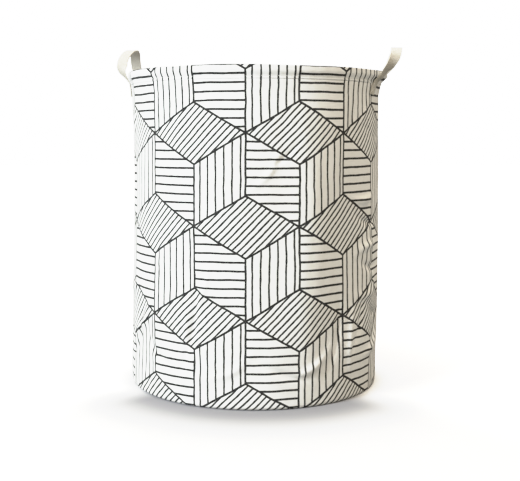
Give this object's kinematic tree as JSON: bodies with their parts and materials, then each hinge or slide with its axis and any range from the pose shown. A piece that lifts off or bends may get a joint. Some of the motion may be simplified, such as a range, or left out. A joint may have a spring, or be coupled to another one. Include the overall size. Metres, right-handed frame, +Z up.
{
  "type": "fabric storage bin",
  "caption": "Tall round fabric storage bin, open at the top, with a folded hem and a webbing loop handle on each side; it folds down flat.",
  "frame": {"origin": "centre of the base's underside, on the surface that the bin stands on", "axes": "+Z up, out of the open mouth; +X towards the right-hand handle; +Y towards the side seam at the back"},
  "size_m": [0.4624, 0.4082, 0.542],
  "materials": {
    "printed_canvas": "matte woven cotton-linen, off-white with thin charcoal lines in a tumbling-block pattern",
    "plain_canvas": "matte woven cotton-linen, off-white",
    "film": "thin white waterproof film, slight sheen",
    "binding": "cream woven cotton tape",
    "webbing": "cream ribbed cotton webbing, matte",
    "thread": "off-white sewing thread"
  },
  "bodies": {
    "base": {"base_panel": "plain_canvas", "base_lining": "film", "base_seam_binding": "binding", "base_seam_stitching": "thread", "wall_panel": "printed_canvas", "wall_lining": "film", "side_seam_allowance": "plain_canvas", "side_seam_stitching": "thread"},
    "rim": {"hem_band": "printed_canvas", "hem_stitching": "thread", "right_handle_tails": "webbing", "right_tack_stitching": "thread", "left_handle_tails": "webbing", "left_tack_stitching": "thread"},
    "right_handle": {"right_handle_loop": "webbing"},
    "left_handle": {"left_handle_loop": "webbing"}
  },
  "joints": [
    {"name": "wall_collapse", "type": "slide", "parent": "base", "child": "rim", "axis": [0, 0, -1], "range_m": [0, 0.42], "deforming": ["wall_panel", "wall_lining", "side_seam_allowance", "side_seam_stitching"]},
    {"name": "right_handle_flop", "type": "hinge", "parent": "rim", "child": "right_handle", "pos_m": [0.21436, 0, 0.502], "axis": [0, 1, 0], "range_deg": [-95, 100]},
    {"name": "left_handle_flop", "type": "hinge", "parent": "rim", "child": "left_handle", "pos_m": [-0.21095, 0, 0.502], "axis": [0, -1, 0], "range_deg": [-70, 100]}
  ]
}
